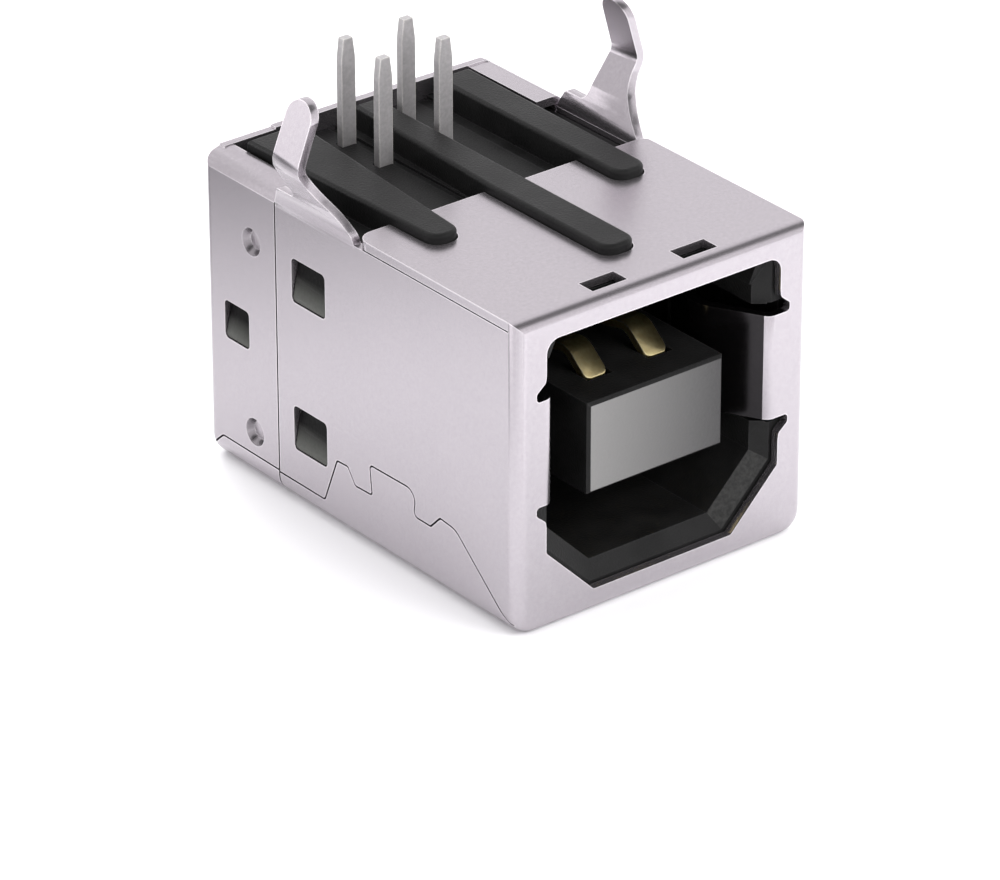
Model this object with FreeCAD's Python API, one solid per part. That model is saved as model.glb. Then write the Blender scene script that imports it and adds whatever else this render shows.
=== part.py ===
import FreeCAD, Part
import math
import os

# Right-angle through-hole USB-B socket, in millimetres, lying on its flat face
# with the board side and the solder tails up.
# X runs across the plug opening, Y from the opening to the back, Z up to the board.
# While it is drawn, the front face is at Y = 0. Each piece is then moved so that
# the middle of the whole footprint is the origin.

Vector = FreeCAD.Vector

# overall body
body_width = 12.04
body_depth = 16.6
body_height = 11.2

# folded sheet metal
sheet = 0.3
seam = 0.07
plate_seam = 0.045
fold_radius = 0.45
long_fold_radius = 0.8
rear_shell_length = 3.95

# board side of the rear shell: a crease and a rolled flange on the left, a plain fold
# on the right, and the rear wall's upper edge between them
crease_drop = 0.43
roll_lean = 0.46
roll_radius = 1.3
board_fold_radius = 0.35
flange_width = 1.1
wall_left = 5.3
wall_right = 5.75
rear_wall_lift = 0.04
rear_wall_rise = 0.07
rise_left = 3.2

# plug opening in the front face
opening_width = 9.65
opening_height = 9.5
opening_cut_corner = 1.95
opening_corner_radius = 0.5
opening_soft_corner = 0.15
notch_reach = 0.4
notch_tip_height = 0.3
notch_mouth_height = 0.6

# grounding leaves, bent in from the front face
leaf_bottom = 4.55
leaf_top = 8.3
leaf_bend_radius = 0.22
right_leaf_knee = 4.5
left_leaf_knee = 4.72
right_leaf_crest = 3.3
left_leaf_crest = 3.85
leaf_crest_y = 2.3
leaf_crest_radius = 1.2
leaf_end = 3.9
leaf_return = 0.4
leaf_gap = 0.25

# housing, cavity and tongue
housing_gap = 0.05
cavity_width = 8.45
cavity_height = 7.78
cavity_cut_corner = 1.75
cavity_floor = 9.4
cavity_drop = 0.22
bevel_depth = 0.4
bevel_ledge = 0.1
roof_relief_height = 0.9
roof_relief_depth = 4.8
tongue_width = 5.6
tongue_height = 3.25
tongue_lift = 0.08
tongue_setback = 0.4
tongue_edge = 0.1

# ribs on the board side, half widths from the middle of the socket
rib_rise = 0.33
rib_edge = 0.15
rib_end_radius = 0.52
centre_rib_tip = 2.08
centre_rib_right = 0.6
centre_rib_left = 0.72
centre_rib_left_back = 0.36
side_rib_tip = 6.1
left_rib_outer = 4.5
left_rib_inner = 3.38
left_rib_outer_back = 4.8
left_rib_inner_back = 2.62
right_rib_inner = 3.12
right_rib_outer = 4.38
right_rib_outer_back = 4.46
rib_from_back = 0.88
slot_clearance = 0.04

# recesses between the ribs
recess_start = 8.2
recess_depth = 0.2
recess_step = 0.12
recess_step_start = 0.4
left_step_from = 1.05
left_step_to = 0.72
right_step_from = 2.55
right_step_to = 3.14

# board-side plate
plate_end = 8.3
left_plate_corner = 0.6
right_plate_corner = 0.3
small_slot_width = 1.4
small_slot_depth = 0.7
small_slot_front = 0.52
small_slot_offset = 1.86
small_slot_well = 0.6

# windows, wedges and dimples in the sides, lengths from the back of the socket
window_corner = 0.18
front_window_from_back = 6.65
front_window_length = 1.8
upper_window_bottom = 7.55
upper_window_top = 9.15
lower_window_bottom = 2.12
lower_window_top = 3.75
ear_window_from_back = 2.45
ear_window_length = 1.35
ear_window_bottom = 4.78
ear_window_top = 6.18
wedge_clearance = 0.04
wedge_below_face = 0.04
wedge_slope_depth = 0.36
dimple_radius = 0.5
dimple_floor_radius = 0.34
dimple_depth = 0.25
dimple_from_back = 2.65
upper_dimple_z = 8.85
lower_dimple_z = 1.82

# board legs
leg_from_back = 6.32
leg_width = 1.6
leg_height = 15.4
leg_bend_start = 11.35
leg_bend_radius = 2.4
leg_knee_out = 1.2
leg_knee_height = 13.2
leg_knee_radius = 0.6
leg_tip_out = 0.15
leg_root_depth = 1.4
leg_flare = 1.93
leg_flare_z = 11.05
leg_flare_radius = 0.75
leg_neck = 0.48
leg_neck_z = 12.5
leg_neck_radius = 1.2
leg_taper = 0.15
leg_rear_spread = 0.18
leg_shoulder_z = 11.5
leg_shoulder_radius = 0.3

# contacts
contact_pitch = 2.5
contact_width = 0.92
contact_sheet = 0.3
contact_proud = 0.12
contact_nose = 1.85
contact_nose_drop = 0.2
contact_nose_corner = 0.25
contact_crest = 2.95
contact_crest_lift = 0.68
contact_crest_radius = 0.7
contact_settle = 6.2
contact_settle_radius = 2.0
contact_bend_radius = 0.45
tail_width = 0.57
tail_tip_width = 0.38
tail_tip_length = 0.75
tail_tip_radius = 2.0
tail_height = 14.5
tail_row_gap = 2.0
near_tail_from_back = 3.61
channel_clearance = 0.05
channel_roof = 0.4

half_width = body_width / 2
middle_z = body_height / 2
opening_half = opening_width / 2
cavity_half = cavity_width / 2
tongue_half = tongue_height / 2
tongue_z = middle_z + tongue_lift
inner_half = half_width - sheet
housing_half = inner_half - housing_gap
housing_front = sheet + housing_gap
housing_back = body_depth - sheet - housing_gap
housing_top = body_height - sheet - housing_gap
under_plate = body_height - sheet
recess_floor = housing_top - recess_depth
rib_top = body_height + rib_rise
rear_shell_start = body_depth - rear_shell_length
flange_inner = half_width - flange_width
leg_y = body_depth - leg_from_back
near_tail_y = body_depth - near_tail_from_back
far_tail_y = near_tail_y + tail_row_gap
# a cutting tool runs this far past what it cuts
past = 1.0


def on_plane(plane, u, v, level):
    """The point u, v of a drawing plane that lies at a level along its normal."""
    if plane == "xy":
        return Vector(u, v, level)
    if plane == "xz":
        return Vector(u, level, v)
    return Vector(level, u, v)


def outline(plane, level, corners):
    """A closed wire through corners (u, v), or (u, v, radius) where they are rounded."""
    edges = []
    ends = []
    count = len(corners)
    for i in range(count):
        here = Vector(corners[i][0], corners[i][1], 0)
        before = Vector(corners[i - 1][0], corners[i - 1][1], 0) - here
        after = Vector(corners[(i + 1) % count][0], corners[(i + 1) % count][1], 0) - here
        radius = corners[i][2] if len(corners[i]) > 2 else 0
        if radius <= 0:
            ends.append((here, here, None))
            continue
        before.normalize()
        after.normalize()
        half_angle = before.getAngle(after) / 2
        reach = radius / math.tan(half_angle)
        bisector = before + after
        bisector.normalize()
        centre = here + bisector * (radius / math.sin(half_angle))
        ends.append((here + before * reach, here + after * reach, centre - bisector * radius))
    for i in range(count):
        first, last, middle = ends[i]
        if middle is not None:
            arc = Part.Arc(*[on_plane(plane, p.x, p.y, level) for p in (first, middle, last)])
            edges.append(arc.toShape())
        following = ends[(i + 1) % count][0]
        if (following - last).Length > 1e-6:
            a = on_plane(plane, last.x, last.y, level)
            b = on_plane(plane, following.x, following.y, level)
            edges.append(Part.LineSegment(a, b).toShape())
    return Part.Wire(Part.__sortEdges__(edges))


def prism(plane, start, end, corners):
    """A solid with the same outline all along."""
    face = Part.Face(outline(plane, start, corners))
    return face.extrude(on_plane(plane, 0, 0, end - start))


def rectangle(u0, u1, v0, v1, radius=0):
    return [(u0, v0, radius), (u1, v0, radius), (u1, v1, radius), (u0, v1, radius)]


def block(x0, x1, y0, y1, z0, z1):
    return Part.makeBox(x1 - x0, y1 - y0, z1 - z0, Vector(x0, y0, z0))


def strip(plane, start, end, path, thickness):
    """A bent strip of sheet. The path is its middle line, with bend radii."""
    points = [Vector(p[0], p[1], 0) for p in path]
    left = []
    right = []
    for i, point in enumerate(points):
        turns = []
        if i > 0:
            turns.append((point - points[i - 1]).normalize())
        if i < len(points) - 1:
            turns.append((points[i + 1] - point).normalize())
        normals = [Vector(-t.y, t.x, 0) for t in turns]
        mitre = normals[0] + normals[-1]
        mitre.normalize()
        side = mitre * (thickness / 2 / mitre.dot(normals[0]))
        radius = path[i][2] if len(path[i]) > 2 else 0
        bends_left = len(turns) == 2 and turns[0].cross(turns[1]).z > 0
        inner = max(radius - thickness / 2, 0)
        outer = radius + thickness / 2 if radius else 0
        left.append((point.x + side.x, point.y + side.y, inner if bends_left else outer))
        right.append((point.x - side.x, point.y - side.y, outer if bends_left else inner))
    return prism(plane, start, end, left + right[::-1])


def cut_all(shape, tools):
    for tool in tools:
        shape = shape.cut(tool)
    return shape


def fuse_all(shapes):
    return shapes[0].multiFuse(shapes[1:]).removeSplitter()


def mirrored(shape):
    return shape.mirror(Vector(0, 0, 0), Vector(1, 0, 0))


def both_sides(shapes):
    return shapes + [mirrored(shape) for shape in shapes]


def shell_block(inset, rear=False):
    """The outer form of the folded can, or its inside when inset by the sheet.

    The long lower folds are drawn. Outside, both ends are then rounded all the way round.
    At the rear the upper edge stays sharp, and the board side's corners are shaped: on the
    left the side leans in from a crease and rolls over, on the right there is a plain fold.
    """
    side = half_width - inset
    low = inset
    high = body_height - inset
    long_fold = long_fold_radius - inset
    body = prism("xz", inset, body_depth - inset, [
        (-side, low, long_fold), (side, low, long_fold), (side, high), (-side, high)])
    if inset == 0:
        ends = [edge for edge in body.Edges if edge.BoundBox.YLength < 1e-6]
        if rear:
            ends = [edge for edge in ends if edge.BoundBox.ZMin < high - 1e-6]
        body = body.makeFillet(fold_radius, ends)
    if not rear:
        return body
    lean_angle = math.atan2(crease_drop, roll_lean)
    crease_z = body_height - crease_drop - inset * math.tan((math.pi / 2 - lean_angle) / 2)
    shoulder_x = half_width - roll_lean - inset * math.tan(lean_angle / 2)
    above_roll = prism("xz", -past, body_depth + past, [
        (side + roll_lean, crease_z - crease_drop), (shoulder_x, high, roll_radius - inset),
        (0, high), (0, high + past), (side + roll_lean, high + past)])
    above_fold = prism("xz", -past, body_depth + past, [
        (side, high - past), (side, high, board_fold_radius - inset), (0, high), (0, high + past),
        (side + past, high + past), (side + past, high - past)])
    return cut_all(body, [mirrored(above_roll), above_fold])


def plug_outline(half, height, cut, drop=0, radius=0):
    """A plug opening: two square corners above, two cut corners below."""
    top = middle_z - drop + height / 2
    bottom = middle_z - drop - height / 2
    return [(-half, top), (-half, bottom + cut, radius), (-half + cut, bottom, radius),
            (half - cut, bottom, radius), (half, bottom + cut, radius), (half, top)]


def wing_corners():
    """The lower wing of the front shell's side, with its two locking tabs, in Y and Z.

    Each Y is a share of the side's length.
    """
    side = rear_shell_start
    wing_base = 0.9
    tab_top = 3.2
    return [
        (-past, 0.42), (0.035 * side, 0.42, 0.3), (0.25 * side, 2.72, 0.7), (0.313 * side, 2.8, 0.15),
        (0.352 * side, 2.3, 0.08), (0.423 * side, 2.3, 0.2), (0.411 * side, tab_top + 0.05, 0.45),
        (0.606 * side, tab_top, 0.15), (0.597 * side, 2.13, 0.1), (0.668 * side, 2.1, 0.15),
        (0.7 * side, 2.65, 0.12), (0.745 * side, 2.62, 0.12), (0.8 * side, wing_base, 0.15),
        (side + past, wing_base), (side + past, -past), (-past, -past)]


def rear_wing_corners():
    step = body_depth - 0.55
    return [
        (rear_shell_start - past, 0.95), (step - 0.3, 0.98, 0.2), (step + 0.25, 0.5, 0.2),
        (body_depth + past, 0.5), (body_depth + past, -past), (rear_shell_start - past, -past)]


def seam_cutter(corners, start, end):
    """A ribbon one seam wide that follows an outline through a side wall."""
    wire = outline("yz", -half_width - past, corners)
    outer = Part.Face(wire.makeOffset2D(seam / 2, 2))
    inner = Part.Face(wire.makeOffset2D(-seam / 2, 2))
    ribbon = outer.cut(inner).extrude(Vector(past + long_fold_radius, 0, 0))
    return ribbon.common(block(-half_width - past, 0, start, end, -past, body_height))


def rib_outlines(grow):
    """The three ribs seen from the board, grown by a clearance for the plate's slots."""
    back = body_depth - rib_from_back
    tip = side_rib_tip - grow
    middle_tip = centre_rib_tip - grow
    radius = rib_end_radius + grow / 2
    left = [(-left_rib_outer_back - grow, back), (-left_rib_outer - grow, tip, radius),
            (-left_rib_inner + grow, tip, radius), (-left_rib_inner_back + grow, back)]
    middle = [(-centre_rib_left_back - grow, back), (-centre_rib_left - grow, recess_start),
              (-centre_rib_left - grow, middle_tip, radius), (centre_rib_right + grow, middle_tip, radius),
              (centre_rib_right + grow, back)]
    right = [(right_rib_inner - grow, back), (right_rib_inner - grow, tip, radius),
             (right_rib_outer + grow, tip, radius), (right_rib_outer_back + grow, back)]
    return [left, middle, right]


def front_face_cutters():
    """The plug opening, its four notches and the leaves' share of the face."""
    deep = sheet + 0.01
    corners = plug_outline(opening_half, opening_height, opening_cut_corner, 0, opening_soft_corner)
    corners[0] += (opening_corner_radius,)
    corners[-1] += (opening_corner_radius,)
    opening = prism("xz", -past, deep, corners)
    reach = opening_half + notch_reach
    inside = opening_half - 0.3
    soft = notch_tip_height / 2.2
    notches = []
    for leaf_edge, away in ((leaf_bottom, -1), (leaf_top, 1)):
        notches.append(prism("xz", -past, deep, [
            (inside, leaf_edge), (reach, leaf_edge, soft),
            (reach, leaf_edge + away * notch_tip_height, soft),
            (opening_half + 0.03, leaf_edge + away * notch_mouth_height, 0.2),
            (opening_half - 0.02, leaf_edge + away * (notch_mouth_height + 0.4)),
            (inside, leaf_edge + away * (notch_mouth_height + 0.4))]))
    seat = block(inside, reach, -past, deep, leaf_bottom, leaf_top)
    return [opening] + both_sides(notches + [seat])


def leaf(knee, crest):
    """One grounding leaf, bent in from the front face beside the plug opening."""
    root = opening_half + notch_reach
    middle = sheet / 2
    path = [(root + 0.2, middle), (knee, middle, leaf_bend_radius),
            (crest, leaf_crest_y, leaf_crest_radius), (crest + leaf_return, leaf_end)]
    return strip("xy", leaf_bottom, leaf_top, path, sheet)


def leg():
    """One board leg: a tongue of the side panel with an outward knee and a round tip."""
    centre = half_width - sheet / 2
    root = body_height - leg_root_depth
    path = [
        (centre, root), (centre, leg_bend_start, leg_bend_radius),
        (centre + leg_knee_out, leg_knee_height, leg_knee_radius),
        (centre + leg_tip_out, leg_height + past)]
    bent = strip("xz", leg_y - body_height, leg_y + body_height, path, sheet)
    half = leg_width / 2
    tip = half - leg_taper
    rear = rear_shell_start - seam
    silhouette = prism("yz", 0, body_width, [
        (leg_y - leg_flare, root), (leg_y - leg_flare, leg_flare_z, leg_flare_radius),
        (leg_y - leg_neck, leg_neck_z, leg_neck_radius),
        (leg_y - tip, leg_height, tip * 0.98), (leg_y + tip, leg_height, tip * 0.98),
        (leg_y + half + leg_rear_spread, leg_shoulder_z, leg_shoulder_radius),
        (rear - leg_shoulder_radius, leg_shoulder_z, leg_shoulder_radius / 2),
        (rear, under_plate), (rear, root)])
    return bent.common(silhouette)


def dimples():
    """Flat-bottomed punches of both ears, from the outside, two a side."""
    marks = []
    for z in (upper_dimple_z, lower_dimple_z):
        place = Vector(half_width, body_depth - dimple_from_back, z)
        marks.append(Part.makeCone(
            dimple_radius, dimple_floor_radius, dimple_depth, place, Vector(-1, 0, 0)))
    return both_sides(marks)


def dimple_backs(reach, depth):
    """Square bosses behind the dimples, or the pockets in the housing that clear them."""
    y = body_depth - dimple_from_back
    backs = []
    for z in (upper_dimple_z, lower_dimple_z):
        backs.append(block(inner_half - depth, inner_half + 0.1, y - reach, y + reach, z - reach, z + reach))
    return both_sides(backs)


def front_windows():
    """The two latch windows of a side panel: from and to in Y, then in Z."""
    start = body_depth - front_window_from_back
    end = start + front_window_length
    return [(start, end, upper_window_bottom, upper_window_top),
            (start, end, lower_window_bottom, lower_window_top)]


def ear_windows():
    start = body_depth - ear_window_from_back
    return [(start, start + ear_window_length, ear_window_bottom, ear_window_top)]


def window_cutters(windows):
    cutters = []
    for y0, y1, z0, z1 in windows:
        shape = rectangle(y0, y1, z0, z1, window_corner)
        cutters.append(prism("yz", inner_half - 0.01, half_width + past, shape))
    return both_sides(cutters)


def plate_corner_cutter(radius):
    """What is trimmed off to round one rear corner of the board-side plate."""
    corner_x = half_width - radius
    corner_y = plate_end - radius
    corner = block(corner_x, half_width + past, corner_y, plate_end + past,
                   under_plate - plate_seam, body_height + past)
    return corner.cut(Part.makeCylinder(radius, body_height + 2 * past, Vector(corner_x, corner_y, 0)))


def build_front_shell():
    can = shell_block(0).cut(shell_block(sheet))
    keep = block(-half_width, half_width, 0, rear_shell_start - seam, 0, body_height)
    can = can.common(keep)
    # the plate lies over the side panels, with a seam under its edge
    under_edge = block(inner_half - 0.25, half_width + past, fold_radius, body_depth,
                       under_plate - plate_seam, under_plate)
    behind_plate = block(-half_width, half_width, plate_end, body_depth, under_plate - plate_seam, body_height)
    can = cut_all(can, both_sides([under_edge]) + [behind_plate])
    can = cut_all(can, [mirrored(plate_corner_cutter(left_plate_corner)), plate_corner_cutter(right_plate_corner)])
    for rib in rib_outlines(slot_clearance):
        can = can.cut(prism("xy", under_plate - seam, body_height + past, rib))
    half_slot = small_slot_width / 2
    slot = block(small_slot_offset - half_slot, small_slot_offset + half_slot, small_slot_front,
                 small_slot_front + small_slot_depth, under_plate - 0.1, body_height + past)
    can = cut_all(can, both_sides([slot]))
    can = cut_all(can, front_face_cutters())
    wing_seam = seam_cutter(wing_corners(), sheet, rear_shell_start)
    can = cut_all(can, both_sides([wing_seam]))
    can = cut_all(can, window_cutters(front_windows()))
    leaves = [leaf(right_leaf_knee, right_leaf_crest), mirrored(leaf(left_leaf_knee, left_leaf_crest))]
    return fuse_all([can] + both_sides([leg()]) + leaves)


def build_rear_shell():
    can = shell_block(0, True).cut(shell_block(sheet, True))
    can = can.common(block(-half_width, half_width, rear_shell_start, body_depth, 0, body_height))
    # the board side is open between the two flanges
    opening = block(-flange_inner, flange_inner, 0, body_depth - sheet, under_plate - sheet, body_height + past)
    can = can.cut(opening)
    # the rear wall stands a little higher, and follows the folds round at its ends
    wall_z = body_height + rear_wall_lift
    rise_z = wall_z + rear_wall_rise
    wall_foot = body_height - crease_drop
    wall = prism("xz", body_depth - fold_radius, body_depth, [
        (-wall_left, wall_foot), (-wall_left, wall_z, 0.05), (-rise_left, wall_z),
        (-rise_left, rise_z), (0, rise_z), (wall_right, wall_z, 0.1), (wall_right, wall_foot)])
    side = fold_radius - 0.01
    folded = prism("xy", 0, body_height + past, [
        (-half_width, 0), (half_width, 0), (half_width, body_depth, side), (-half_width, body_depth, side)])
    inside = prism("xy", 0, body_height + past, [
        (-inner_half, 0), (inner_half, 0), (inner_half, body_depth - sheet, side - sheet),
        (-inner_half, body_depth - sheet, side - sheet)])
    can = fuse_all([can, wall.common(folded.cut(inside))])
    can = cut_all(can, window_cutters(ear_windows()))
    wing_seam = seam_cutter(rear_wing_corners(), rear_shell_start, body_depth - sheet)
    can = cut_all(can, both_sides([wing_seam]))
    bosses = dimple_backs(dimple_radius, dimple_depth)
    return cut_all(fuse_all([can] + bosses), dimples())


def contact_levels():
    """Height of each blade's middle line, the side of the tongue it lies on and its tail row."""
    lift = tongue_half + contact_proud - contact_sheet / 2
    return [(tongue_z + lift, 1, near_tail_y), (tongue_z - lift, -1, far_tail_y)]


def contact(x, level, side, tail_y):
    """A sprung blade over the tongue that bows towards the plug, and a tail up to the board."""
    path = [
        (contact_nose, level - side * contact_nose_drop),
        (contact_crest, level + side * contact_crest_lift, contact_crest_radius),
        (contact_settle, level, contact_settle_radius),
        (tail_y, level, contact_bend_radius), (tail_y, tail_height)]
    bent = strip("yz", x - contact_width / 2, x + contact_width / 2, path, contact_sheet)
    blade_end = tail_y - 1.6
    half = contact_width / 2
    blade = prism("xy", level - tongue_half, level + tongue_half, [
        (x - half, contact_nose, contact_nose_corner), (x + half, contact_nose, contact_nose_corner),
        (x + half, blade_end), (x - half, blade_end)])
    tail = prism("xz", blade_end - 0.01, body_depth, [
        (x - tail_width / 2, 0), (x + tail_width / 2, 0),
        (x + tail_width / 2, tail_height - tail_tip_length, tail_tip_radius),
        (x + tail_tip_width / 2, tail_height), (x - tail_tip_width / 2, tail_height),
        (x - tail_width / 2, tail_height - tail_tip_length, tail_tip_radius)])
    return bent.common(fuse_all([blade, tail]))


def contact_channels():
    """Slots for the contacts from the back of the housing, and a hole round each tail."""
    gap = channel_clearance
    half = contact_width / 2 + gap
    cutters = []
    low_level = contact_levels()[1][0]
    for x in (-contact_pitch / 2, contact_pitch / 2):
        for level, side, tail_y in contact_levels():
            inward = level - side * (contact_sheet / 2 + gap)
            outward = level + side * (contact_sheet / 2 + gap + contact_proud)
            cutters.append(block(x - half, x + half, contact_nose + 0.5, housing_back + past,
                                 min(inward, outward), max(inward, outward)))
            # a well under the blade's nose lets it spring
            well = inward - side * contact_nose_drop * 2
            cutters.append(block(x - half, x + half, contact_nose - 0.15, contact_crest,
                                 min(well, outward), max(well, outward)))
        tail_half = tail_width / 2 + gap
        sheet_half = contact_sheet / 2 + gap
        cutters.append(block(x - tail_half, x + tail_half, near_tail_y - sheet_half - gap, housing_back + past,
                             low_level - sheet_half, recess_floor - channel_roof))
        for tail_y in (near_tail_y, far_tail_y):
            cutters.append(block(x - tail_half, x + tail_half, tail_y - sheet_half, tail_y + sheet_half,
                                 low_level, rib_top + past))
    return cutters


def build_housing():
    body = shell_block(housing_front)
    under_roll = block(-half_width, half_width, rear_shell_start - seam, body_depth, 0, body_height)
    body = body.cut(under_roll.cut(shell_block(housing_front, True)))
    # cavity with a bevelled mouth
    mouth_outline = plug_outline(opening_half - bevel_ledge, opening_height - 2 * bevel_ledge,
                                 opening_cut_corner)
    throat_outline = plug_outline(cavity_half, cavity_height, cavity_cut_corner, cavity_drop)
    cavity = prism("xz", 0, cavity_floor, throat_outline)
    wires = []
    for y, corners in ((housing_front, mouth_outline), (housing_front + bevel_depth, throat_outline)):
        points = [Vector(corner[0], y, corner[1]) for corner in corners]
        wires.append(Part.makePolygon(points + [points[0]]))
    bevel = Part.makeLoft(wires, True, True)
    # the roof of the cavity is set back behind the front face
    relief_low = middle_z - cavity_drop + cavity_height / 2 - 0.1
    relief_half = cavity_half - bevel_ledge
    relief = block(-relief_half, relief_half, 0, roof_relief_depth, relief_low,
                   relief_low + 0.1 + roof_relief_height)
    body = cut_all(body, [cavity, bevel, relief])
    # side recesses that the grounding leaves swing into
    leaf_room = block(cavity_half - 0.6, housing_half - leaf_gap, 0, leaf_end + past,
                      leaf_bottom - leaf_gap, leaf_top + leaf_gap)
    leaf_mouth = block(opening_half - 0.2, housing_half + past, 0, sheet + 2 * leaf_gap,
                       leaf_bottom - notch_tip_height, leaf_top + notch_tip_height)
    body = cut_all(body, both_sides([leaf_room, leaf_mouth]))
    # tongue
    half = tongue_width / 2
    tongue = block(-half, half, tongue_setback, cavity_floor + 0.5,
                   tongue_z - tongue_half, tongue_z + tongue_half)
    front_edges = [e for e in tongue.Edges if e.BoundBox.YMax < cavity_floor]
    tongue = tongue.makeChamfer(tongue_edge, front_edges)
    # ribs with soft upper edges, and recesses between them
    recess = block(-housing_half - past, housing_half + past, recess_start, housing_back + past,
                   recess_floor, body_height)
    body = body.cut(recess)
    ribs = []
    for rib_outline in rib_outlines(0):
        rib = prism("xy", recess_floor - 0.5, rib_top, rib_outline)
        top_edges = [e for e in rib.Edges if abs(e.BoundBox.ZMin - rib_top) < 1e-6]
        ribs.append(rib.makeFillet(rib_edge, top_edges))
    body = fuse_all([body, tongue] + ribs)
    # a shallow step runs along each recess beside a rib
    for inner_x, outer_x in ((-left_step_from, -left_step_to), (right_step_from, right_step_to)):
        body = body.cut(block(inner_x, outer_x, recess_start + recess_step_start, housing_back + past,
                              recess_floor - recess_step, recess_floor + 0.001))
    # wells under the plate's two small slots
    half_slot = small_slot_width / 2
    well = block(small_slot_offset - half_slot, small_slot_offset + half_slot, small_slot_front + 0.1,
                 small_slot_front + small_slot_depth, housing_top - small_slot_well, housing_top + past)
    body = cut_all(body, both_sides([well]))
    # latch wedges fill the side windows, almost flush below and sunk above
    wedges = []
    slopes = []
    for y0, y1, z0, z1 in front_windows() + ear_windows():
        gap = wedge_clearance
        middle = (z0 + z1) / 2
        face_x = half_width - wedge_below_face
        shape = rectangle(y0 + gap, y1 - gap, z0 + gap, z1 - gap, window_corner - gap)
        wedges.append(prism("yz", housing_half - 0.2, face_x, shape))
        slopes.append(prism("xz", y0 + gap, y1 - gap, [
            (face_x + 0.01, z0 + gap + 0.1), (face_x - wedge_slope_depth / 3, middle, 3),
            (half_width - wedge_slope_depth, z1 - gap), (face_x + past, z1 - gap)]))
    body = fuse_all([body] + both_sides(wedges))
    body = cut_all(body, both_sides(slopes))
    body = cut_all(body, dimple_backs(dimple_radius + housing_gap, dimple_depth + housing_gap))
    return cut_all(body, contact_channels())


def save(name, shape):
    shape = shape.copy()
    shape.translate(Vector(0, -body_depth / 2, 0))
    shape.exportStep("parts/" + name + ".step")
    print(name, "solids", len(shape.Solids), "faces", len(shape.Faces), "valid", shape.isValid(),
          "volume", round(shape.Volume, 2))


os.makedirs("parts", exist_ok=True)
save("front_shell", build_front_shell())
save("rear_shell", build_rear_shell())
save("housing", build_housing())
number = 1
for level, side, tail_y in contact_levels():
    for x in (-contact_pitch / 2, contact_pitch / 2):
        save("contact_" + str(number), contact(x, level, side, tail_y))
        number += 1
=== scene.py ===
import math

import bmesh
import bpy
from mathutils import Matrix, Vector


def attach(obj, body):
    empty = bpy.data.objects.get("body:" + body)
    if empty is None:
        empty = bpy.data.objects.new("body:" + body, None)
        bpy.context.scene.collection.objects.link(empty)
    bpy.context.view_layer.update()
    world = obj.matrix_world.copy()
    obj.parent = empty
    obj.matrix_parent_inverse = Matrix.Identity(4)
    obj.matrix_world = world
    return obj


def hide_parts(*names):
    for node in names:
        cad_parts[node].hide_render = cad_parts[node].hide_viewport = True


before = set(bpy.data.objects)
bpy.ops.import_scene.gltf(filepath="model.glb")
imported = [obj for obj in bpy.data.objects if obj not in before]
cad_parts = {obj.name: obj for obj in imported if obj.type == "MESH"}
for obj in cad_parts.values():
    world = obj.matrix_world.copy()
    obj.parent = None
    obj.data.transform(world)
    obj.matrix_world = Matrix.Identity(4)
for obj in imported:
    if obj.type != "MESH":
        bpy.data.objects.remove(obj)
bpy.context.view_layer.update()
scene = bpy.context.scene
mm = 0.001

# Table top and light.
# A white sheet under the socket, lit by broad soft lamps that the metal does not mirror.
# What the metal mirrors is the sheet, with a painted shadow on it, and the room, with pale walls and a
# dim ceiling.
table_reach = 400 * mm
bpy.ops.mesh.primitive_plane_add(size=table_reach)
table_top = bpy.context.object
table_top.name = "table_top"


def new_material(name):
    """A material with its node tree and its main shader."""
    material = bpy.data.materials.new(name)
    material.use_nodes = True
    return material, material.node_tree, material.node_tree.nodes["Principled BSDF"]


def place_node(tree, kind, values=(), **settings):
    """A node with its settings; its inputs are (name, value or another node's output)."""
    node = tree.nodes.new(kind)
    for key, value in settings.items():
        setattr(node, key, value)
    for key, value in values:
        if isinstance(value, bpy.types.NodeSocket):
            tree.links.new(value, node.inputs[key])
        else:
            node.inputs[key].default_value = value
    return node


# white where it is seen directly; what the metal mirrors has a painted shadow, a dark patch at the back
# on the left
shadow_patch_middle = (-37 * mm, 40 * mm, 0)
shadow_patch_core = 14 * mm
shadow_patch_reach = 41 * mm
table_paint, tree, shader = new_material("white table sheet")
shader.inputs["Roughness"].default_value = 0.7
shader.inputs["Specular IOR Level"].default_value = 0.1
place = place_node(tree, "ShaderNodeTexCoord")
from_patch = place_node(tree, "ShaderNodeVectorMath", [(0, place.outputs["Object"]), (1, shadow_patch_middle)],
                        operation="DISTANCE")
outside = place_node(tree, "ShaderNodeMapRange", [
    ("Value", from_patch.outputs["Value"]), ("From Min", shadow_patch_core), ("From Max", shadow_patch_reach)],
    interpolation_type="SMOOTHSTEP")
seen = place_node(tree, "ShaderNodeLightPath")
pale = place_node(tree, "ShaderNodeMath", [
    (0, outside.outputs["Result"]), (1, seen.outputs["Is Camera Ray"])], operation="MAXIMUM")
# the dark colour is the painted shadow
paint = place_node(tree, "ShaderNodeMix", [
    ("Factor", pale.outputs["Value"]), (6, (0.12, 0.12, 0.125, 1)), (7, (0.93, 0.93, 0.94, 1))],
    data_type="RGBA")
tree.links.new(paint.outputs[2], shader.inputs["Base Color"])
table_top.data.materials.append(table_paint)


def soft_lamp(name, place, aim, width, height, power):
    """A rectangular studio lamp, place and aim in millimetres, that the metal does not mirror."""
    light = bpy.data.lights.new(name, "AREA")
    light.shape = "RECTANGLE"
    light.size = width * mm
    light.size_y = height * mm
    light.energy = power
    carrier = bpy.data.objects.new(name, light)
    carrier.location = Vector(place) * mm
    carrier.rotation_euler = (Vector(aim) - Vector(place)).to_track_quat("-Z", "Y").to_euler()
    carrier.visible_glossy = False
    scene.collection.objects.link(carrier)


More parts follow.
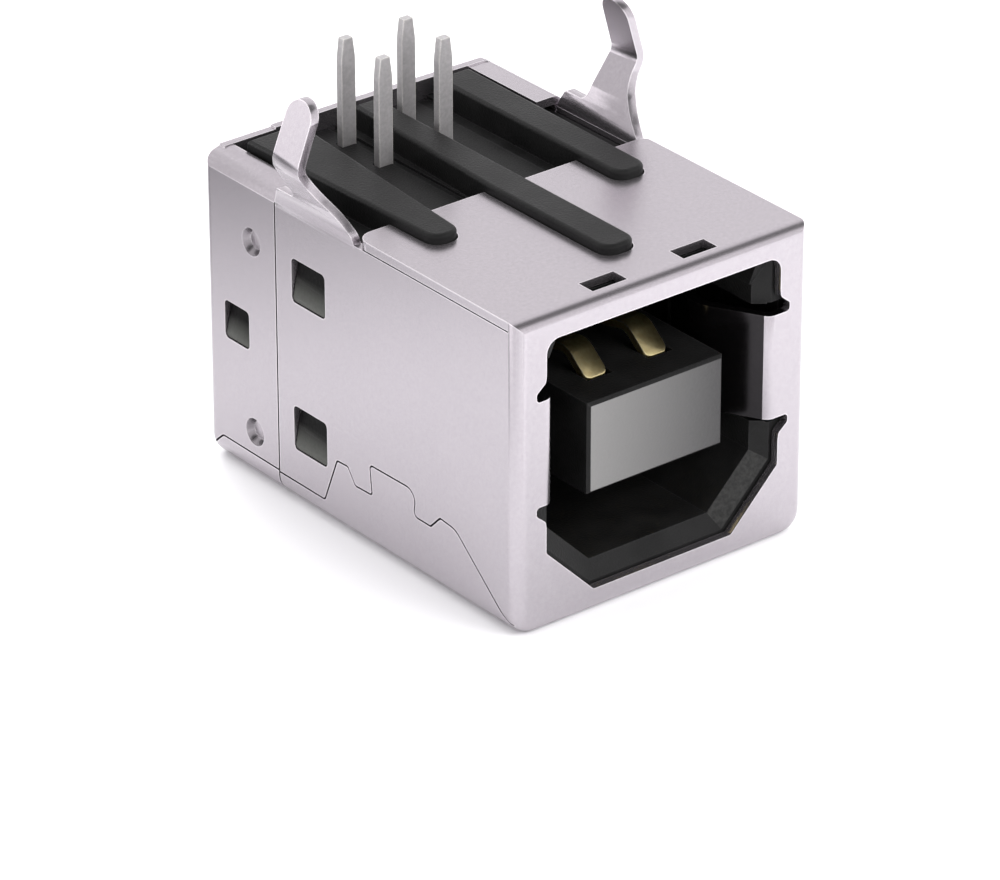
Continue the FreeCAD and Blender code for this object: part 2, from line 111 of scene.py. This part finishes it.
soft_lamp("overhead lamp", (20, -20, 240), (0, 0, 0), 420, 420, 0.64)
soft_lamp("front lamp", (30, -70, 55), (4, -16, 0), 60, 40, 0.044)
soft_lamp("left lamp", (-75, 10, 50), (-20, 4, 0), 60, 40, 0.003)
soft_lamp("back lamp", (10, 75, 60), (0, 17, 0), 40, 30, 0.030)

# the room, by the direction of a ray: pale walls, brighter low down at the back on the left, and
# a ceiling that is dim towards the front
back_left = (-0.68, 0.73, 0)
room = bpy.data.worlds.new("studio room")
room.use_nodes = True
ray = place_node(room.node_tree, "ShaderNodeTexCoord").outputs["Generated"]
parts = place_node(room.node_tree, "ShaderNodeSeparateXYZ", [("Vector", ray)])
to_back_left = place_node(room.node_tree, "ShaderNodeVectorMath", [(0, ray), (1, back_left)],
                          operation="DOT_PRODUCT")


def room_step(value, start, end, first, last):
    """A brightness that goes smoothly from first to last while value goes from start to end."""
    step = place_node(room.node_tree, "ShaderNodeMapRange", [
        ("Value", value), ("From Min", start), ("From Max", end), ("To Min", first), ("To Max", last)],
        interpolation_type="SMOOTHSTEP")
    return step.outputs["Result"]


wall = room_step(parts.outputs["Z"], 0.14, 0.34, 1.45, 1.2)
wall_left = room_step(parts.outputs["Z"], 0.04, 0.3, 2.15, 0.95)
walls = room_step(to_back_left.outputs["Value"], 0.45, 0.8, wall, wall_left)
ceiling = room_step(parts.outputs["Y"], -0.1, 0.35, 0.12, 1.2)
brightness = room_step(parts.outputs["Z"], 0.56, 0.72, walls, ceiling)
background = room.node_tree.nodes["Background"]
background.inputs["Color"].default_value = (1, 0.985, 1, 1)
room.node_tree.links.new(brightness, background.inputs["Strength"])
scene.world = room
scene.view_settings.view_transform = "Standard"

# Camera.
# Stands in front of the socket, to the left and above, with a long lens, as the
# photograph was taken.
view_azimuth = -38.46
view_elevation = 27.83
view_roll = -0.09
view_distance = 208.65 * mm
view_target = Vector((0, -0.3, 5.5)) * mm
slide_right = -0.268 * mm
slide_up = -3.101 * mm
lens_over_width = 6.3515
camera_data = bpy.data.cameras.new("camera")
camera_data.sensor_width = 36
camera_data.lens = lens_over_width * camera_data.sensor_width
camera_data.clip_start = 0.01
camera_data.clip_end = 10
camera = bpy.data.objects.new("camera", camera_data)
turn = Matrix.Rotation(math.radians(view_azimuth), 4, "Z")
tilt = Matrix.Rotation(math.radians(90 - view_elevation), 4, "X")
roll = Matrix.Rotation(math.radians(view_roll), 4, "Z")
aim = turn @ tilt @ roll
shift = aim @ Vector((slide_right, slide_up, view_distance))
camera.matrix_world = Matrix.Translation(view_target + shift) @ aim
scene.collection.objects.link(camera)
scene.camera = camera


# Front and rear shells.
# Thin tinned steel sheet, sheared to shape and folded; the front one carries the
# opening, the leaves and the legs, the rear one closes the back.
def rounded_copy(node, name, edge_radius):
    """A copy of a CAD node with joined faces and rounded edges, which stands for the node."""
    piece = bpy.data.objects.new(name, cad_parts[node].data.copy())
    scene.collection.objects.link(piece)
    mesh = bmesh.new()
    mesh.from_mesh(piece.data)
    bmesh.ops.remove_doubles(mesh, verts=mesh.verts, dist=0.001 * mm)
    bmesh.ops.dissolve_limit(mesh, angle_limit=math.radians(0.5), verts=mesh.verts,
                             edges=mesh.edges)
    for face in mesh.faces:
        face.smooth = True
    mesh.to_mesh(piece.data)
    mesh.free()
    piece.data.materials.clear()
    bevel = piece.modifiers.new("edges", "BEVEL")
    bevel.width = edge_radius
    bevel.segments = 2
    bevel.limit_method = "ANGLE"
    bevel.angle_limit = math.radians(28)
    bevel.use_clamp_overlap = True
    bevel.harden_normals = True
    even = piece.modifiers.new("even shading", "WEIGHTED_NORMAL")
    even.weight = 100
    even.keep_sharp = True
    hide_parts(node)
    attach(piece, "root")
    return piece


def new_group(name, inputs, outputs):
    """An empty shader node group; inputs are (name, default), outputs are names of values."""
    tree = bpy.data.node_groups.new(name, "ShaderNodeTree")
    for socket_name, value in inputs:
        socket = tree.interface.new_socket(socket_name, in_out="INPUT",
                                           socket_type="NodeSocketFloat")
        socket.default_value = value
    for socket_name in outputs:
        tree.interface.new_socket(socket_name, in_out="OUTPUT", socket_type="NodeSocketFloat")
    return tree, tree.nodes.new("NodeGroupInput"), tree.nodes.new("NodeGroupOutput")


def noise_group(name, detail, stretch):
    """A noise in Object coordinates whose Size is in millimetres, stretched along one direction."""
    tree, given, result = new_group(name, [("Size", 0.1), ("Low", 0.35), ("High", 0.65)], ["Value"])
    place = place_node(tree, "ShaderNodeTexCoord")
    drawn = place_node(tree, "ShaderNodeMapping", [
        ("Vector", place.outputs["Object"]), ("Scale", stretch)])
    density = place_node(tree, "ShaderNodeMath", [(0, 1 / mm), (1, given.outputs["Size"])],
                         operation="DIVIDE")
    noise = place_node(tree, "ShaderNodeTexNoise", [
        ("Vector", drawn.outputs["Vector"]), ("Scale", density.outputs["Value"]), ("Detail", detail)])
    spread = place_node(tree, "ShaderNodeMapRange", [
        ("Value", noise.outputs["Fac"]), ("From Min", given.outputs["Low"]),
        ("From Max", given.outputs["High"])])
    tree.links.new(spread.outputs["Result"], result.inputs["Value"])
    return tree


# edges lightened by this mask are partly wear and partly a painted highlight
def edge_wear_and_highlight_group():
    """1 where the surface turns sharply within Radius, and 0 on the flat."""
    tree, given, result = new_group("edge wear and painted highlight", [("Radius", 0.05 * mm)], ["Mask"])
    soft = place_node(tree, "ShaderNodeBevel", [("Radius", given.outputs["Radius"])], samples=4)
    true = place_node(tree, "ShaderNodeNewGeometry")
    match = place_node(tree, "ShaderNodeVectorMath", [
        (0, soft.outputs["Normal"]), (1, true.outputs["Normal"])], operation="DOT_PRODUCT")
    spread = place_node(tree, "ShaderNodeMapRange", [
        ("Value", match.outputs["Value"]), ("From Min", 0.985), ("From Max", 0.86)])
    tree.links.new(spread.outputs["Result"], result.inputs["Mask"])
    return tree


speckle = noise_group("speckle", 3, (1, 1, 1))
smudges = noise_group("smudges", 4, (1, 1, 1))
rolling_lines = noise_group("rolling lines", 4, (8, 0.25, 8))
edge_wear_and_highlight = edge_wear_and_highlight_group()


def use_group(tree, group, **values):
    """A shader node group placed in a material with its own values."""
    node = tree.nodes.new("ShaderNodeGroup")
    node.node_tree = group
    for key, value in values.items():
        node.inputs[key].default_value = value
    return node


def blend_colour(tree, mask, first, second):
    """One colour where the mask is 0 and another where it is 1."""
    node = place_node(tree, "ShaderNodeMix", [("Factor", mask), (6, first), (7, second)],
                      data_type="RGBA")
    return node.outputs[2]


def blend_value(tree, mask, low, high):
    """One value where the mask is 0 and another where it is 1."""
    node = place_node(tree, "ShaderNodeMapRange", [
        ("Value", mask), ("To Min", low), ("To Max", high)])
    return node.outputs["Result"]


def raise_surface(tree, height, depth, shader):
    """Bump from a height map, depth in metres."""
    bump = place_node(tree, "ShaderNodeBump", [("Height", height), ("Distance", depth)])
    tree.links.new(bump.outputs["Normal"], shader.inputs["Normal"])


def tinned_steel(name, tone, smooth, rough):
    """Tin over rolled steel: fine grain, faint rolling lines, sheared edges brighter by wear and by a
    painted highlight.
    """

    def shade(red, green, blue):
        return red * tone, green * tone, blue * tone, 1

    metal, tree, shader = new_material(name)
    shader.inputs["Metallic"].default_value = 0.93
    grain = use_group(tree, speckle, Size=0.11, Low=0.22, High=0.78).outputs["Value"]
    clouds = use_group(tree, smudges, Size=3.0, Low=0.3, High=0.7).outputs["Value"]
    lines = use_group(tree, rolling_lines, Size=0.9, Low=0.3, High=0.7).outputs["Value"]
    edge = use_group(tree, edge_wear_and_highlight, Radius=0.08 * mm).outputs["Mask"]
    even = blend_colour(tree, clouds, shade(0.62, 0.58, 0.62), shade(0.645, 0.60, 0.64))
    grained = blend_colour(tree, grain, shade(0.58, 0.54, 0.58), shade(0.685, 0.64, 0.68))
    both = blend_colour(tree, 0.65, even, grained)
    # edges brighter: partly wear, partly a painted highlight
    worn_and_highlit = blend_colour(tree, edge, both, shade(1.18, 1.13, 1.17))
    tree.links.new(worn_and_highlit, shader.inputs["Base Color"])
    tree.links.new(blend_value(tree, lines, smooth, rough), shader.inputs["Roughness"])
    raise_surface(tree, grain, 0.0004 * mm, shader)
    return metal


matt_tin = tinned_steel("tinned sheet steel", 0.72, 0.25, 0.27)
# painted shade: the leaves' steel is darkened nearly to black
leaf_tin_in_painted_shade = tinned_steel("tinned steel of the leaves in painted shade", 0.045, 0.14, 0.2)
# painted shade: the sloping walls of the dimples are darker
dimple_tin_in_painted_shade = tinned_steel("tinned steel of the dimple walls in painted shade", 0.42, 0.25, 0.27)
leaf_half_span = 4.75 * mm
leaf_ends = (-8.1 * mm, -4.2 * mm)
leaf_heights = (4.4 * mm, 8.4 * mm)
dimple_radius = 0.5 * mm
dimple_y = 5.65 * mm
dimple_heights = (1.82 * mm, 8.85 * mm)


def on_leaf(face):
    """Whether a face is on a grounding leaf, behind the front face and inside the opening."""
    x, y, z = face.center
    between = leaf_ends[0] < y < leaf_ends[1] and leaf_heights[0] < z < leaf_heights[1]
    return abs(x) < leaf_half_span and between


def in_dimple(face):
    """Whether a face is on the sloping wall of a dimple in the ears."""
    near = any(math.hypot(face.center.y - dimple_y, face.center.z - z) < dimple_radius
               for z in dimple_heights)
    return near and 0.1 < abs(face.normal.x) < 0.95


for node in ("front_shell", "rear_shell"):
    shell = rounded_copy(node, node + "_sheet", 0.06 * mm)
    for metal in (matt_tin, leaf_tin_in_painted_shade, dimple_tin_in_painted_shade):
        shell.data.materials.append(metal)
    for face in shell.data.polygons:
        if on_leaf(face):
            # the leaves take the steel with painted shade
            face.material_index = 1
        if node == "rear_shell" and in_dimple(face):
            # the dimple walls take the steel with painted shade
            face.material_index = 2


# Housing.
# One piece of black glass-filled plastic, moulded, which the shells are folded round. The
# front face of its tongue is painted grey as painted light, paler towards the left.
def moulded_plastic():
    """Black plastic with a fine eroded skin, slightly greyer at the edges, partly from rubbing and
    partly as a painted sheen.
    """
    plastic, tree, shader = new_material("black moulded plastic")
    shader.inputs["Specular IOR Level"].default_value = 0.16
    skin = use_group(tree, speckle, Size=0.07, Low=0.3, High=0.7).outputs["Value"]
    clouds = use_group(tree, smudges, Size=1.4, Low=0.35, High=0.65).outputs["Value"]
    edge = use_group(tree, edge_wear_and_highlight, Radius=0.07 * mm).outputs["Mask"]
    dark = blend_colour(tree, clouds, (0.008, 0.008, 0.008, 1), (0.013, 0.013, 0.013, 1))
    # greyer edges: partly rubbing, partly a painted sheen
    tree.links.new(blend_colour(tree, edge, dark, (0.03, 0.03, 0.031, 1)), shader.inputs["Base Color"])
    tree.links.new(blend_value(tree, clouds, 0.38, 0.5), shader.inputs["Roughness"])
    raise_surface(tree, skin, 0.006 * mm, shader)
    return plastic


def wedge_plastic():
    """The plastic of the latch wedges, painted with shade: black above and paler below."""
    plastic, tree, shader = new_material("latch wedge in painted shade")
    shader.inputs["Specular IOR Level"].default_value = 0.12
    height = place_node(tree, "ShaderNodeAttribute", attribute_name="height in window")
    skin = use_group(tree, speckle, Size=0.1, Low=0.3, High=0.7).outputs["Value"]
    pale = blend_colour(tree, skin, (0.095, 0.098, 0.09, 1), (0.115, 0.118, 0.108, 1))
    # painted shade: black towards the top of each window, paler below
    sunk = place_node(tree, "ShaderNodeMapRange", [
        ("Value", height.outputs["Fac"]), ("From Max", 0.6)])
    shade = blend_colour(tree, sunk.outputs["Result"], pale, (0.001, 0.001, 0.001, 1))
    tree.links.new(shade, shader.inputs["Base Color"])
    tree.links.new(blend_value(tree, skin, 0.45, 0.55), shader.inputs["Roughness"])
    raise_surface(tree, skin, 0.004 * mm, shader)
    return plastic


def mouth_corner_painted_light_plastic():
    """The plastic of the mouth's cut corner, painted greyer as painted light, and coarse."""
    plastic, tree, shader = new_material("mouth corner in painted light")
    shader.inputs["Specular IOR Level"].default_value = 0.35
    skin = use_group(tree, speckle, Size=0.13, Low=0.35, High=0.65).outputs["Value"]
    tree.links.new(blend_colour(tree, skin, (0.01, 0.01, 0.0097, 1), (0.028, 0.028, 0.027, 1)),
                   shader.inputs["Base Color"])
    tree.links.new(blend_value(tree, skin, 0.5, 0.65), shader.inputs["Roughness"])
    raise_surface(tree, skin, 0.01 * mm, shader)
    return plastic


def tongue_face_painted_light_plastic():
    """The same plastic painted grey as painted light, paler towards the left."""
    plastic, tree, shader = new_material("tongue face in painted light")
    place = place_node(tree, "ShaderNodeTexCoord")
    across = place_node(tree, "ShaderNodeSeparateXYZ", [("Vector", place.outputs["Object"])])
    fade = place_node(tree, "ShaderNodeMapRange", [
        ("Value", across.outputs["X"]), ("From Min", -tongue_half_width),
        ("From Max", tongue_half_width)])
    skin = use_group(tree, speckle, Size=0.12, Low=0.3, High=0.7).outputs["Value"]
    grey = blend_colour(tree, fade.outputs["Result"], (0.185, 0.183, 0.18, 1),
                        (0.028, 0.027, 0.028, 1))
    dusted = blend_colour(tree, skin, (0.94, 0.94, 0.94, 1), (1, 1, 1, 1))
    product = place_node(tree, "ShaderNodeMix", [("Factor", 1.0), (6, grey), (7, dusted)],
                         data_type="RGBA", blend_type="MULTIPLY")
    tree.links.new(product.outputs[2], shader.inputs["Base Color"])
    tree.links.new(blend_value(tree, skin, 0.45, 0.6), shader.inputs["Roughness"])
    raise_surface(tree, skin, 0.004 * mm, shader)
    return plastic


tongue_half_width = 2.8 * mm
tongue_face_y = -7.9 * mm
tongue_low = 4.0 * mm
tongue_high = 7.35 * mm
mouth_back_y = -7.4 * mm
# latch wedges: how far out they start, and the heights that each window spans
wedge_from = 5.62 * mm
window_spans = [(2.12 * mm, 3.75 * mm), (4.78 * mm, 6.18 * mm), (7.55 * mm, 9.15 * mm)]


def on_cut_corner(face):
    """Whether a face is on the right cut corner of the mouth's bevel."""
    slanted = face.normal.x < -0.3 and face.normal.y < -0.3 and face.normal.z > 0.3
    return slanted and face.center.y < mouth_back_y


def on_tongue_front(face):
    """Whether a face is the front face of the tongue."""
    faces_plug = face.normal.y < -0.9 and abs(face.center.y - tongue_face_y) < 0.05 * mm
    across = abs(face.center.x) < tongue_half_width
    return faces_plug and across and tongue_low < face.center.z < tongue_high


housing = rounded_copy("housing", "housing_moulding", 0.04 * mm)
for plastic in (moulded_plastic(), tongue_face_painted_light_plastic(), wedge_plastic(), mouth_corner_painted_light_plastic()):
    housing.data.materials.append(plastic)
window_heights = housing.data.attributes.new("height in window", "FLOAT", "CORNER")
for face in housing.data.polygons:
    if on_cut_corner(face):
        face.material_index = 3
    if abs(face.center.x) > wedge_from and abs(face.normal.x) > 0.5:
        for low, high in window_spans:
            if low < face.center.z < high:
                face.material_index = 2
                for corner in face.loop_indices:
                    height = housing.data.vertices[housing.data.loops[corner].vertex_index].co.z
                    window_heights.data[corner].value = min(max((height - low) / (high - low), 0), 1)
    if on_tongue_front(face):
        face.material_index = 1


# Contacts.
# Four stamped copper-alloy strips, gold plated on the tongue and tinned at the tail.
def plated_contact():
    """Gold on the blade and dull tin on the tail, with fine grain and edges brightened by wear and by a
    painted highlight.
    """
    metal, tree, shader = new_material("plated contact")
    place = place_node(tree, "ShaderNodeTexCoord")
    along = place_node(tree, "ShaderNodeSeparateXYZ", [("Vector", place.outputs["Object"])])
    tinned = place_node(tree, "ShaderNodeMapRange", [
        ("Value", along.outputs["Y"]), ("From Min", gold_end_y), ("From Max", tin_start_y)])
    grain = use_group(tree, speckle, Size=0.12, Low=0.3, High=0.7).outputs["Value"]
    edge = use_group(tree, edge_wear_and_highlight, Radius=0.07 * mm).outputs["Mask"]
    gold = blend_colour(tree, grain, (0.86, 0.72, 0.34, 1), (0.95, 0.83, 0.45, 1))
    tin = blend_colour(tree, grain, (0.40, 0.388, 0.392, 1), (0.49, 0.476, 0.48, 1))
    plated = blend_colour(tree, tinned.outputs["Result"], gold, tin)
    # edges brighter: partly wear, partly a painted highlight
    worn_and_highlit = blend_colour(tree, edge, plated, (0.86, 0.84, 0.80, 1))
    tree.links.new(worn_and_highlit, shader.inputs["Base Color"])
    tree.links.new(blend_value(tree, tinned.outputs["Result"], 0.3, 0.5), shader.inputs["Roughness"])
    tree.links.new(blend_value(tree, tinned.outputs["Result"], 1, 0.6), shader.inputs["Metallic"])
    raise_surface(tree, grain, 0.001 * mm, shader)
    return metal


gold_end_y = 2.6 * mm
tin_start_y = 2.9 * mm
contact_metal = plated_contact()
for number in range(1, 5):
    contact = rounded_copy("contact_%d" % number, "contact_strip_%d" % number, 0.035 * mm)
    contact.data.materials.append(contact_metal)
